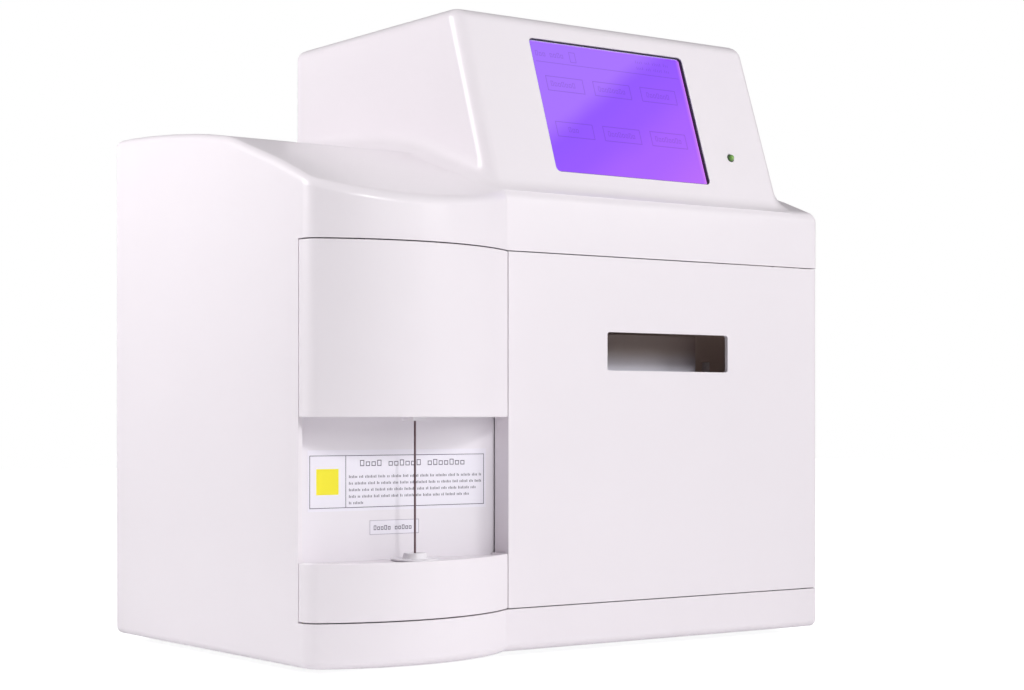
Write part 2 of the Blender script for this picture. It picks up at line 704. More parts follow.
def tower_foot(index):
    """Where the tower's wall would meet the casing's top at one point of its plan."""
    z = BASE_Z + BROW_TOP_HEIGHT
    for _ in range(12):
        x, y, nx, ny = tower_plan(z, 0)[index]
        z = top_z(y)
    return x, y, z, nx, ny


def tower_body(name):
    """The tower with a flared foot that sinks into the casing's top."""
    count = len(tower_plan(TOWER_Z, 0))
    feet = [tower_foot(i) for i in range(count)]
    flare = []
    for i, (x, y, z, nx, ny) in enumerate(feet):
        reach = SIDE_FLARE * nx ** 2 + (FRONT_FLARE * ny ** 2 if ny < 0 else 0)
        ox = x + nx * reach
        oy = y + min(ny, 0) * reach
        outer = Vector((ox, oy, top_z(oy) - FLARE_SINK))
        wall = tower_plan(z + reach, 0)[i]
        upper = Vector((wall[0], wall[1], z + reach))
        flare.append((outer, Vector((x, y, z)), upper))
    rings = [[(outer.x, outer.y, BROW_Z + WALL) for outer, _, _ in flare]]
    for step in range(EDGE_STEPS + 1):
        t = step / EDGE_STEPS
        rings.append([(1 - t) ** 2 * outer + 2 * t * (1 - t) * knee + t ** 2 * upper for outer, knee, upper in flare])
    for step in range(EDGE_STEPS + 1):
        angle = pi / 2 * step / EDGE_STEPS
        z = TOWER_Z - TOWER_TOP_RADIUS * (1 - sin(angle))
        inset = TOWER_TOP_RADIUS * (1 - cos(angle))
        rings.append([(x, y, z) for x, y, _, _ in tower_plan(z, inset)])
    return loft(name, rings)


def tower_void():
    """The space inside the tower, open to the casing below."""
    low = BASE_Z + BROW_TOP_HEIGHT
    high = TOWER_Z - WALL
    rings = [[(x, y, z) for x, y, _, _ in tower_plan(z, WALL)] for z in (low, high)]
    return loft("tower_void", rings)


def face_cutter(name, outline, depth, x, z):
    cutter = prism(name, outline, -OVERRUN, depth, None, "Y")
    return on_face(cutter, x, z)


def build_housing(materials):
    housing = casing_body("housing", materials["shell"])
    join(housing, tower_body("tower_form"))
    subtract(housing, casing_void(), tower_void())
    wide = HALF_WIDTH + OVERRUN
    front = FRONT_Y - BULGE_SAGITTA - OVERRUN
    opening = box("front_opening", (-wide, front, SKIRT_Z), (wide, SIDE_SEAM_Y, BROW_Z))
    right_gap = box("door_side_gap", (PIVOT_X - PIVOT_INSET, front, SKIRT_Z), (wide, FRAME_Y, BROW_Z))
    bottom = prism(
        "bottom_opening",
        rounded_rectangle(RETURN_LIP - HALF_WIDTH, HALF_WIDTH - RETURN_LIP, FRONT_Y + RETURN_LIP,
                          BACK_Y - RETURN_LIP, RETURN_LIP),
        BASE_Z - OVERRUN, BASE_Z + WALL + SEAT_GAP,
    )
    back = box(
        "rear_opening", (REAR_MARGIN - HALF_WIDTH, BACK_Y - WALL - SEAT_GAP, BASE_Z + REAR_MARGIN),
        (HALF_WIDTH - REAR_MARGIN, BACK_Y + OVERRUN, BASE_Z + REAR_TOP_HEIGHT - REAR_LAP),
    )
    screen_z = BASE_Z + SCREEN_CENTRE_HEIGHT
    window = face_cutter(
        "screen_window",
        window_outline(0),
        2 * WALL, SCREEN_CENTRE_X, screen_z,
    )
    lamp = face_cutter(
        "lamp_hole", ring_points((0, 0), LED_RADIUS + SEAT_GAP, SMALL_ROUND_SEGMENTS), 2 * WALL,
        LED_X, BASE_Z + LED_HEIGHT,
    )
    return subtract(housing, opening, right_gap, bottom, back, window, lamp)


def cover_outline(inset, back):
    """Plan of a bulged cover: its skin follows the casing, and a tongue at its left goes inside the wall."""
    right = DOOR_LEFT - SEAM / 2 - inset
    skin = [point for point in front_path(inset) if point[0] < right]
    lead = SIDE_SEAM_Y - SEAM / 2
    tongue = inset - INSIDE_X
    fall = BULGE_CENTRE_Y - sqrt((BULGE_RADIUS - inset) ** 2 - (right - BULGE_X) ** 2)
    if inset:
        return [(tongue, back)] + [(max(x, tongue), y) for x, y in skin if x > tongue] + [(right, fall), (right, back)]
    return [(tongue, back), (tongue, lead), (-HALF_WIDTH, lead)] + skin + [(right, fall), (right, back)]


def build_sample_cover(materials):
    back = PANEL_Y - SEAT_GAP
    top = BROW_Z - SEAM
    cover = prism("sample_cover", cover_outline(0, back), BAY_TOP_Z, top, materials["cover"])
    pocket = prism("sample_cover_pocket", cover_outline(WALL, back + OVERRUN), BAY_TOP_Z + COVER_FLOOR, top + OVERRUN)
    hole_x = GUIDE_WIDTH / 2 + SEAT_GAP
    hole_y = GUIDE_DEPTH / 2 + SEAT_GAP
    middle = PROBE_X - GUIDE_SHIFT
    hole = box("probe_guide_hole", (middle - hole_x, PROBE_Y - GUIDE_SHIFT - hole_y, BAY_TOP_Z - OVERRUN),
               (middle + hole_x, PROBE_Y - GUIDE_SHIFT + hole_y, BAY_TOP_Z + COVER_FLOOR + OVERRUN / 2))
    return subtract(cover, pocket, hole)


def build_lower_cover(materials):
    back = PANEL_Y - SEAT_GAP
    low = SKIRT_Z + SEAM
    rim = LEDGE_Z + LEDGE_RIM
    cover = prism("lower_cover", cover_outline(0, back), low, rim, materials["cover"])
    tray = prism("ledge_recess", cover_outline(LEDGE_RIM_WIDTH, back + OVERRUN), LEDGE_Z, rim + OVERRUN)
    pocket = prism("lower_cover_pocket", cover_outline(WALL, back + OVERRUN), low - OVERRUN, LEDGE_Z - COVER_FLOOR)
    hole = rod("wash_cup_hole", (PROBE_X, PROBE_Y), CUP_RADIUS + SEAT_GAP, LEDGE_Z - COVER_FLOOR - OVERRUN,
               rim + OVERRUN / 2, count=ROUND_SEGMENTS)
    return subtract(cover, tray, pocket, hole)


def build_bay_panel(materials):
    right = PARTITION_X - SEAT_GAP
    return box("bay_back_panel", (-INSIDE_X, PANEL_Y, SKIRT_Z + SEAM), (right, PANEL_Y + PANEL_SHEET, BAY_TOP_Z + COVER_FLOOR),
               materials["cover"])


def build_wash_cup(materials):
    stand = LEDGE_Z + SEAT_GAP
    top = stand + CUP_STAND
    profile = (
        (CUP_RADIUS, stand - CUP_DROP), (CUP_RADIUS, stand), (CUP_FLANGE_RADIUS, stand),
        (CUP_FLANGE_RADIUS, stand + CUP_FLANGE_THICKNESS), (CUP_RADIUS, stand + CUP_FLANGE_THICKNESS),
        (CUP_RADIUS - CUP_FLANGE_THICKNESS, top), (CUP_WELL_RADIUS, top), (CUP_WELL_RADIUS, top - CUP_WELL_DEPTH),
    )
    return turned("wash_cup", (PROBE_X, PROBE_Y), profile, materials["white_plastic"])


def build_probe_guide(materials):
    x = PROBE_X - GUIDE_SHIFT
    y = PROBE_Y - GUIDE_SHIFT
    deck = BAY_TOP_Z + COVER_FLOOR + SEAT_GAP
    guide = box("probe_guide", (x - GUIDE_WIDTH / 2, y - GUIDE_DEPTH / 2, BAY_TOP_Z - GUIDE_DROP),
                (x + GUIDE_WIDTH / 2, y + GUIDE_DEPTH / 2, deck + GUIDE_FLANGE_THICKNESS / 2), materials["white_plastic"])
    flange = box("probe_guide_flange", (x - GUIDE_WIDTH / 2 - GUIDE_FLANGE, y - GUIDE_DEPTH / 2 - GUIDE_FLANGE, deck),
                 (x + GUIDE_WIDTH / 2 + GUIDE_FLANGE, y + GUIDE_DEPTH / 2 + GUIDE_FLANGE, deck + GUIDE_FLANGE_THICKNESS))
    join(guide, flange)
    bore = rod("probe_guide_bore", (PROBE_X, PROBE_Y), PROBE_RADIUS + PROBE_CLEARANCE, BAY_TOP_Z - OVERRUN,
               deck + OVERRUN)
    return subtract(guide, bore)


def build_probe(materials):
    seat = BASE_Z + CARRIAGE_HEIGHT + CARRIAGE_RISE + SEAT_GAP
    tip = LEDGE_Z + CUP_STAND - PROBE_TIP_DROP
    profile = ((PROBE_RADIUS, tip), (PROBE_RADIUS, seat), (HUB_RADIUS, seat), (HUB_RADIUS, seat + HUB_LENGTH))
    return turned("probe", (PROBE_X, PROBE_Y), profile, materials["steel"], count=SMALL_ROUND_SEGMENTS)


def build_sampler(materials):
    """Bracket, motor, lead screw, guide rods and the carriage that the probe hangs from."""
    depth_y = PANEL_Y + PANEL_SHEET + SEAT_GAP
    back_y = depth_y + SAMPLER_REACH
    top_z_here = BASE_Z + SAMPLER_TOP_HEIGHT
    outline = (
        (depth_y, SAMPLER_Z), (back_y, SAMPLER_Z), (back_y, top_z_here), (depth_y, top_z_here),
        (depth_y, top_z_here - SAMPLER_SHEET), (back_y - SAMPLER_SHEET, top_z_here - SAMPLER_SHEET),
        (back_y - SAMPLER_SHEET, SAMPLER_Z + SAMPLER_SHEET), (depth_y, SAMPLER_Z + SAMPLER_SHEET),
    )
    bracket = prism("sampler_bracket", outline, SAMPLER_LEFT, SAMPLER_RIGHT, materials["zinc"], "X")
    screw_hole = rod("lead_screw_holes", (SCREW_X, SCREW_Y), SCREW_RADIUS + ROD_CLEARANCE, SAMPLER_Z - OVERRUN,
                     top_z_here + OVERRUN)
    subtract(bracket, screw_hole)
    low = SAMPLER_Z + SAMPLER_SHEET
    high = top_z_here - SAMPLER_SHEET
    rods = []
    for side, name in ((-1, "guide_rod_left"), (1, "guide_rod_right")):
        place = (SCREW_X + side * GUIDE_ROD_SPREAD, SCREW_Y)
        rods.append(rod(name, place, GUIDE_ROD_RADIUS, low + SEAT_GAP, high - SEAT_GAP, materials["steel"]))
    motor_top = SAMPLER_Z - SEAT_GAP
    half = MOTOR_SIZE / 2
    motor_plan = rounded_rectangle(SCREW_X - half, SCREW_X + half, SCREW_Y - half, SCREW_Y + half, MOTOR_CORNER, 1)
    motor = prism("sampler_motor", motor_plan, motor_top - MOTOR_RISE, motor_top, materials["black"])
    socket_depth = MOTOR_RISE / 2
    socket = rod("motor_shaft_socket", (SCREW_X, SCREW_Y), MOTOR_SHAFT_RADIUS + ROD_CLEARANCE,
                 motor_top - socket_depth, motor_top + OVERRUN)
    subtract(motor, socket)
    profile = (
        (MOTOR_SHAFT_RADIUS, motor_top - socket_depth + SEAT_GAP), (MOTOR_SHAFT_RADIUS, motor_top),
        (SCREW_RADIUS, motor_top + SEAT_GAP), (SCREW_RADIUS, low + SEAT_GAP), (SCREW_COLLAR_RADIUS, low + SEAT_GAP),
        (SCREW_COLLAR_RADIUS, low + SEAT_GAP + SCREW_COLLAR_HEIGHT), (SCREW_RADIUS, low + SEAT_GAP + SCREW_COLLAR_HEIGHT),
        (SCREW_RADIUS, top_z_here),
    )
    screw = turned("lead_screw", (SCREW_X, SCREW_Y), profile, materials["steel"], count=SMALL_ROUND_SEGMENTS)
    carriage_z = BASE_Z + CARRIAGE_HEIGHT
    front = SCREW_Y - CARRIAGE_HALF_DEPTH
    nose = PROBE_Y - ARM_NOSE
    plan = (
        (SCREW_X - CARRIAGE_HALF_WIDTH, SCREW_Y + CARRIAGE_HALF_DEPTH), (SCREW_X - CARRIAGE_HALF_WIDTH, front),
        (PROBE_X - ARM_HALF_WIDTH, front), (PROBE_X - ARM_HALF_WIDTH, nose), (PROBE_X + ARM_HALF_WIDTH, nose),
        (PROBE_X + ARM_HALF_WIDTH, front), (SCREW_X + CARRIAGE_HALF_WIDTH, front),
        (SCREW_X + CARRIAGE_HALF_WIDTH, SCREW_Y + CARRIAGE_HALF_DEPTH),
    )
    carriage = prism("probe_carriage", plan, carriage_z, carriage_z + CARRIAGE_RISE, materials["white_plastic"])
    holes = [rod("carriage_screw_hole", (SCREW_X, SCREW_Y), SCREW_RADIUS + ROD_CLEARANCE, carriage_z - OVERRUN,
                 carriage_z + CARRIAGE_RISE + OVERRUN)]
    for side in (-1, 1):
        holes.append(rod("carriage_rod_hole", (SCREW_X + side * GUIDE_ROD_SPREAD, SCREW_Y),
                         GUIDE_ROD_RADIUS + ROD_CLEARANCE, carriage_z - OVERRUN, carriage_z + CARRIAGE_RISE + OVERRUN))
    holes.append(rod("carriage_probe_hole", (PROBE_X, PROBE_Y), PROBE_RADIUS + ROD_CLEARANCE,
                     carriage_z - OVERRUN, carriage_z + CARRIAGE_RISE + OVERRUN))
    subtract(carriage, *holes)
    return carriage, screw


def door_outline(inset, back):
    right = max(RIGHT_CORNER_RADIUS - inset, LEAST_CORNER_RADIUS)
    x0 = DOOR_LEFT + SEAM / 2 + inset
    x1 = DOOR_RIGHT - inset
    y0 = FRONT_Y + inset
    return [(x0, back), (x0, y0)] + arc_points(x1 - right, y0 + right, right, -pi / 2, 0, CORNER_STEPS) + [(x1, back)]


def build_door(materials):
    low = SKIRT_Z + SEAM
    high = BROW_Z - SEAM
    door = prism("front_door", door_outline(0, DOOR_BACK_Y), low, high, materials["cover"])
    pocket = prism("door_pocket", door_outline(DOOR_SHEET, DOOR_BACK_Y + OVERRUN), low + DOOR_SHEET, high - DOOR_SHEET)
    slot_low = BASE_Z + SLOT_BOTTOM_HEIGHT
    slot = prism("door_slot", rounded_rectangle(SLOT_LEFT, SLOT_LEFT + SLOT_WIDTH, slot_low, slot_low + SLOT_RISE,
                                                SLOT_CORNER_RADIUS), FRONT_Y - OVERRUN, FRONT_Y + OVERRUN, None, "Y")
    outer = PIN_RADIUS + PIN_CLEARANCE + BUSH_WALL
    holes = [rod("door_pivot_holes", (PIVOT_X, PIVOT_Y), outer + SEAT_GAP, low - OVERRUN, high + OVERRUN)]
    subtract(door, pocket, slot, *holes)
    bushes = []
    for name, z in (("hinge_bush_lower", low), ("hinge_bush_upper", high - BUSH_LENGTH)):
        bush = rod(name, (PIVOT_X, PIVOT_Y), outer, z, z + BUSH_LENGTH, materials["white_plastic"])
        bore = rod(name + "_bore", (PIVOT_X, PIVOT_Y), PIN_RADIUS + PIN_CLEARANCE, z - OVERRUN, z + BUSH_LENGTH + OVERRUN)
        bushes.append(subtract(bush, bore))
    middle = (low + high) / 2
    inner_y = FRONT_Y + DOOR_SHEET + SEAT_GAP
    half_width = MAGNET_WIDTH / 2 + STRIKE_MARGIN
    half_rise = MAGNET_RISE / 2 + STRIKE_MARGIN
    strike = box("strike_plate", (CATCH_X - half_width, inner_y, middle - half_rise),
                 (CATCH_X + half_width, inner_y + STRIKE_THICKNESS, middle + half_rise), materials["zinc"])
    return [door, strike] + bushes


def build_hinges(materials):
    """Brackets on the door frame whose arms hold the pins, above and below the door."""
    made = []
    for name, way, edge in (("hinge_upper", 1, BROW_Z), ("hinge_lower", -1, SKIRT_Z)):
        near = edge + way * SEAM
        far = near + way * HINGE_LEAF_RISE
        leaf_y = FRAME_Y - SEAT_GAP
        arm_left = PIVOT_X - HINGE_ARM_HALF_WIDTH
        arm_right = PIVOT_X + HINGE_ARM_HALF_WIDTH
        leaf = box(name, (arm_right - HINGE_LEAF_WIDTH, leaf_y - HINGE_SHEET, min(near, far)),
                   (arm_right, leaf_y, max(near, far)), materials["zinc"])
        arm_end = near + way * HINGE_SHEET
        arm = box(name + "_arm", (arm_left, PIVOT_Y - HINGE_ARM_HALF_WIDTH, min(near, arm_end)),
                  (arm_right - SEAT_GAP, leaf_y - HINGE_SHEET / 2, max(near, arm_end)))
        tip = near - way * (SEAM * 2 + BUSH_LENGTH)
        root = arm_end - way * HINGE_SHEET / 2
        pin = rod(name + "_pin", (PIVOT_X, PIVOT_Y), PIN_RADIUS, min(tip, root), max(tip, root))
        made.append(join(leaf, arm, pin))
    return made


def build_door_frame(materials):
    low = SKIRT_Z - FRAME_REACH
    high = BROW_Z + FRAME_REACH
    back = FRAME_Y + FRAME_SHEET
    frame = box("door_frame", (PARTITION_X, FRAME_Y, low), (INSIDE_X, back, high), materials["zinc"])
    opening = box("door_frame_opening",
                  (PARTITION_X + FRAME_STILE, FRAME_Y - OVERRUN, SKIRT_Z + FRAME_RAIL),
                  (INSIDE_X - FRAME_STILE, back + OVERRUN, BROW_Z - FRAME_RAIL))
    subtract(frame, opening)
    x = CATCH_X
    z = (SKIRT_Z + BROW_Z) / 2
    face = FRONT_Y + DOOR_SHEET + STRIKE_THICKNESS + 2 * SEAT_GAP
    box("door_magnet", (x - MAGNET_WIDTH / 2, face, z - MAGNET_RISE / 2),
        (x + MAGNET_WIDTH / 2, FRAME_Y - SEAT_GAP, z + MAGNET_RISE / 2), materials["black"])


def build_chassis(materials):
    front = FRAME_Y + FRAME_SHEET + SEAT_GAP
    low = DECK_Z + SEAT_GAP
    plan = (
        (PARTITION_X, front), (PARTITION_X + CHASSIS_SHEET, front), (PARTITION_X + CHASSIS_SHEET, BULKHEAD_Y),
        (INSIDE_X, BULKHEAD_Y), (INSIDE_X, BULKHEAD_BACK_Y), (PARTITION_X, BULKHEAD_BACK_Y),
    )
    chassis = prism("chassis", plan, low, BROW_Z + FRAME_REACH, materials["zinc"])
    shaft = rod("chassis_shaft_hole", (PUMP_X, BASE_Z + PUMP_HEIGHT), PUMP_SHAFT_RADIUS + ROD_CLEARANCE,
                BULKHEAD_Y - OVERRUN, BULKHEAD_BACK_Y + OVERRUN, axis="Y")
    return subtract(chassis, shaft)


def build_measuring_unit(materials):
    """The electrode block with its electrodes and latch, and the valves beside it."""
    face = FRONT_Y + BLOCK_FACE_DEPTH
    back = BULKHEAD_Y - SEAT_GAP
    low = BASE_Z + BLOCK_BOTTOM_HEIGHT
    high = BASE_Z + BLOCK_TOP_HEIGHT
    block = box("electrode_block", (BLOCK_LEFT, face, low), (BLOCK_RIGHT, back, high), materials["white_plastic"])
    seat = low + POCKET_MARGIN
    ceiling = seat + ELECTRODE_RISE + 2 * SEAT_GAP
    depth = face + ELECTRODE_DEPTH - ELECTRODE_STAND + SEAT_GAP
    pocket = box("electrode_pocket", (BLOCK_LEFT + POCKET_MARGIN, face - OVERRUN, seat),
                 (BLOCK_RIGHT - POCKET_MARGIN, depth, ceiling))
    subtract(block, pocket)
    front = face - ELECTRODE_STAND
    z0 = seat + SEAT_GAP
    latch_x = BLOCK_RIGHT - POCKET_MARGIN - SEAT_GAP - LATCH_WIDTH
    pivot = (face + LATCH_SETBACK, z0 + LATCH_EYE_RADIUS)
    join(block, rod("latch_pin", pivot, LATCH_PIVOT_RADIUS, latch_x, BLOCK_RIGHT - POCKET_MARGIN / 2, axis="X"))
    z1 = z0 + ELECTRODE_RISE
    for index in range(ELECTRODE_COUNT):
        name = "electrode_%d" % (index + 1)
        x0 = BLOCK_LEFT + POCKET_MARGIN + SEAT_GAP + index * (ELECTRODE_WIDTH + SEAT_GAP)
        piece = box(name, (x0, front, z0), (x0 + ELECTRODE_WIDTH, depth - SEAT_GAP, z1), materials["electrode"])
        cap = rod(name + "_cap", (x0 + ELECTRODE_WIDTH / 2, (z0 + z1) / 2), ELECTRODE_CAP_RADIUS,
                  front - ELECTRODE_CAP_LENGTH, front + ELECTRODE_CAP_LENGTH, axis="Y")
        join(piece, cap)
    outline = arc_points(*pivot, LATCH_EYE_RADIUS, pi, 2 * pi, CORNER_STEPS)
    outline += [(pivot[0] + LATCH_EYE_RADIUS, z0 + LATCH_LENGTH), (pivot[0] - LATCH_EYE_RADIUS, z0 + LATCH_LENGTH)]
    latch = prism("electrode_latch", outline, latch_x, latch_x + LATCH_WIDTH, materials["steel"], "X")
    subtract(latch, rod("latch_eye", pivot, LATCH_PIVOT_RADIUS + ROD_CLEARANCE, latch_x - OVERRUN,
                        latch_x + LATCH_WIDTH + OVERRUN, axis="X"))
    for index in range(2):
        name = "valve_%d" % (index + 1)
        z = BASE_Z + VALVE_LOW_HEIGHT + index * VALVE_PITCH
        front_y = back - VALVE_LENGTH
        profile = (
            (VALVE_NOSE_RADIUS, front_y - VALVE_NOSE_LENGTH), (VALVE_NOSE_RADIUS, front_y), (VALVE_RADIUS, front_y),
            (VALVE_RADIUS, back - VALVE_FOOT), (VALVE_RADIUS + VALVE_FOOT, back - VALVE_FOOT),
            (VALVE_RADIUS + VALVE_FOOT, back),
        )
        turned(name, (VALVE_X, z), profile, materials["steel"], "Y")
    return latch, (latch_x, *pivot)


def build_pump(materials):
    """Peristaltic pump: head, roller rotor, tube and the motor behind the bulkhead."""
    cx = PUMP_X
    cz = BASE_Z + PUMP_HEIGHT
    face = FRONT_Y + PUMP_FACE_DEPTH
    back = BULKHEAD_Y - SEAT_GAP
    body = box("pump_body", (cx - PUMP_HALF_WIDTH, face, cz - PUMP_HALF_WIDTH),
               (cx + PUMP_HALF_WIDTH, back, cz + PUMP_HALF_WIDTH), materials["white_plastic"])
    track = PUMP_TUBE_CENTRE_RADIUS + PUMP_TUBE_RADIUS + SEAT_GAP
    shape = arc_points(cx, cz, track, pi, 2 * pi, ROUND_SEGMENTS // 2)
    shape += [(cx + track, cz + PUMP_HALF_WIDTH + OVERRUN), (cx - track, cz + PUMP_HALF_WIDTH + OVERRUN)]
    recess = prism("pump_recess", shape, face - OVERRUN, face + PUMP_RECESS, None, "Y")
    bore = rod("pump_shaft_bore", (cx, cz), PUMP_SHAFT_RADIUS + ROD_CLEARANCE, face, back + OVERRUN, axis="Y")
    subtract(body, recess, bore)
    tube_y = face + PUMP_TUBE_SETBACK
    top = BASE_Z + PUMP_TUBE_TOP_HEIGHT
    left_x = cx - PUMP_TUBE_CENTRE_RADIUS
    right_x = cx + PUMP_TUBE_CENTRE_RADIUS
    path = [(left_x, top)] + arc_points(cx, cz, PUMP_TUBE_CENTRE_RADIUS, pi, 2 * pi, 14) + [(right_x, top)]
    tube = swept("pump_tube", path, tube_y, PUMP_TUBE_RADIUS, materials["silicone"])
    mouths = []
    for x in (left_x, right_x):
        mouths.append(rod("pump_tube_mouth", (x, tube_y), PUMP_TUBE_BORE, top - PUMP_HALF_WIDTH, top + OVERRUN, count=10))
    subtract(tube, *mouths)
    rotor_back = face + PUMP_RECESS - SEAT_GAP - ROTOR_DISC_THICKNESS
    orbit = PUMP_TUBE_CENTRE_RADIUS - PUMP_TUBE_RADIUS - SEAT_GAP - ROLLER_RADIUS
    motor_y = BULKHEAD_BACK_Y + SEAT_GAP
    profile = (
        (PUMP_SHAFT_RADIUS, tube_y - ROLLER_LENGTH / 2), (PUMP_SHAFT_RADIUS, rotor_back),
        (ROTOR_DISC_RADIUS, rotor_back), (ROTOR_DISC_RADIUS, rotor_back + ROTOR_DISC_THICKNESS),
        (PUMP_SHAFT_RADIUS, rotor_back + ROTOR_DISC_THICKNESS), (PUMP_SHAFT_RADIUS, motor_y + PUMP_SHAFT_IN_MOTOR),
    )
    rotor = turned("pump_rotor", (cx, cz), profile, materials["aluminium"], "Y", SMALL_ROUND_SEGMENTS)
    rollers = []
    for x, z in ring_points((cx, cz), orbit, ROLLER_COUNT, pi / 2):
        rollers.append(rod("pump_roller", (x, z), ROLLER_RADIUS, tube_y - ROLLER_LENGTH / 2,
                           rotor_back + ROTOR_DISC_THICKNESS / 2, axis="Y"))
    join(rotor, *rollers)
    motor_profile = (
        (PUMP_MOTOR_RADIUS + PUMP_MOTOR_FLANGE, motor_y), (PUMP_MOTOR_RADIUS + PUMP_MOTOR_FLANGE, motor_y + PUMP_MOTOR_FLANGE),
        (PUMP_MOTOR_RADIUS, motor_y + PUMP_MOTOR_FLANGE), (PUMP_MOTOR_RADIUS, motor_y + PUMP_MOTOR_LENGTH),
    )
    motor = turned("pump_motor", (cx, cz), motor_profile, materials["black"], "Y")
    socket = rod("pump_motor_socket", (cx, cz), PUMP_SHAFT_RADIUS + ROD_CLEARANCE, motor_y - OVERRUN,
                 motor_y + PUMP_SHAFT_IN_MOTOR + SEAT_GAP, axis="Y")
    subtract(motor, socket)
    return rotor, (cx, tube_y, cz)


def swept(name, path, y, radius, material, count=10):
    """A tube along a path of points in the plane at one depth."""
    rings = []
    for i, (x, z) in enumerate(path):
        before = path[max(i - 1, 0)]
        after = path[min(i + 1, len(path) - 1)]
        length = hypot(after[0] - before[0], after[1] - before[1])
        side = ((after[1] - before[1]) / length, (before[0] - after[0]) / length)
        ring = []
        for step in range(count):
            angle = 2 * pi * step / count
            across = radius * cos(angle)
            ring.append((x + side[0] * across, y + radius * sin(angle), z + side[1] * across))
        rings.append(ring)
    return loft(name, rings, material)


def build_packs(materials):
    """Reagent pack and waste bottle, side by side on the floor behind the door."""
    floor = DECK_Z + SEAT_GAP
    front = FRONT_Y + PACK_FACE_DEPTH
    back = BULKHEAD_Y - SEAT_GAP
    pack = box("reagent_pack", (PACK_LEFT, front, floor), (PACK_RIGHT, back, floor + PACK_RISE),
               materials["clear_pack"], PACK_EDGE)
    middle = (front + back) / 2
    ports = []
    for index in range(PORT_COUNT):
        x = PACK_LEFT + (PACK_RIGHT - PACK_LEFT) * (index + 1) / (PORT_COUNT + 1)
        ports.append(rod("pack_port", (x, middle), PORT_RADIUS, floor + PACK_RISE - PACK_EDGE,
                         floor + PACK_RISE + PORT_RISE))
    join(pack, *ports)
    bottle = box("waste_bottle", (BOTTLE_LEFT, front, floor), (BOTTLE_RIGHT, back, floor + BOTTLE_RISE),
                 materials["clear_pack"], BOTTLE_EDGE)
    cap = rod("bottle_cap", ((BOTTLE_LEFT + BOTTLE_RIGHT) / 2, middle), BOTTLE_CAP_RADIUS,
              floor + BOTTLE_RISE - BOTTLE_EDGE, floor + BOTTLE_RISE + BOTTLE_CAP_RISE, count=ROUND_SEGMENTS)
    join(bottle, cap)


def build_base(materials):
    plate = box("base_plate", (-INSIDE_X + BASE_SHEET, FRONT_Y + WALL + SEAT_GAP + BASE_SHEET, FLOOR_Z),
                (INSIDE_X - BASE_SHEET, REAR_Y - SEAT_GAP, DECK_Z), materials["zinc"])
    posts = []
    for x in (BOARD_LEFT + STANDOFF_INSET, BOARD_RIGHT - STANDOFF_INSET):
        for y in (BOARD_FRONT + STANDOFF_INSET, BOARD_BACK - STANDOFF_INSET):
            posts.append(rod("board_standoff", (x, y), STANDOFF_RADIUS, FLOOR_Z + BASE_SHEET / 2,
                             DECK_Z + STANDOFF_RISE, count=10))
    join(plate, *posts)
    number = 0
    for y in (FRONT_Y + FOOT_FRONT_DEPTH, BACK_Y - FOOT_BACK_INSET):
        for x in (-FOOT_X, FOOT_X):
            number += 1
            profile = ((FOOT_RADIUS - FOOT_TAPER, 0), (FOOT_RADIUS, FOOT_HEIGHT - FOOT_TAPER),
                       (FOOT_RADIUS, FLOOR_Z - SEAT_GAP))
            turned("foot_%d" % number, (x, y), profile, materials["rubber"], count=ROUND_SEGMENTS)


def build_boards(materials):
    """Main board on its standoffs, and the ribbon that runs up to the display."""
    z0 = DECK_Z + STANDOFF_RISE + SEAT_GAP
    z1 = z0 + BOARD_THICKNESS
    board = box("main_board", (BOARD_LEFT, BOARD_FRONT, z0), (BOARD_RIGHT, BOARD_BACK, z1), materials["board"])
    chips = []
    for column in range(3):
        for row in range(2):
            x = BOARD_LEFT + STANDOFF_INSET * 2 + column * CHIP_PITCH
            y = BOARD_FRONT + STANDOFF_INSET * 3 + row * CHIP_PITCH
            chips.append(box("board_chip", (x, y, z1 - CHIP_SINK), (x + CHIP_SIZE, y + CHIP_SIZE, z1 + CHIP_RISE)))
    socket_x = BOARD_RIGHT - STANDOFF_INSET * 2 - SOCKET_WIDTH
    socket_y = BOARD_FRONT + STANDOFF_INSET / 2
    chips.append(box("ribbon_socket", (socket_x, socket_y, z1 - CHIP_SINK),
                     (socket_x + SOCKET_WIDTH, socket_y + SOCKET_DEPTH, z1 + SOCKET_RISE)))
    join(board, *chips)
    x0 = socket_x + (SOCKET_WIDTH - RIBBON_WIDTH) / 2
    low = z1 + SOCKET_RISE + SEAT_GAP
    run_y = BULKHEAD_BACK_Y + RIBBON_BACK
    socket_mid = socket_y + SOCKET_DEPTH / 2
    ribbon_top = BASE_Z + RIBBON_TOP_HEIGHT
    stack = WALL + GASKET_THICKNESS + TOUCH_THICKNESS + LCD_THICKNESS + 4 * SEAT_GAP
    end_y = face_y(ribbon_top) + stack / cos(LEAN) + RIBBON_THICKNESS * tan(LEAN)
    t = RIBBON_THICKNESS
    outline = (
        (socket_mid, low), (socket_mid, low + RIBBON_BACK), (run_y, low + RIBBON_BACK), (run_y, ribbon_top),
        (end_y, ribbon_top), (end_y, ribbon_top + t), (run_y + t, ribbon_top + t), (run_y + t, low + RIBBON_BACK + t),
        (socket_mid + t, low + RIBBON_BACK + t), (socket_mid + t, low),
    )
    prism("ribbon_cable", outline, x0, x0 + RIBBON_WIDTH, materials["ribbon"], "X")


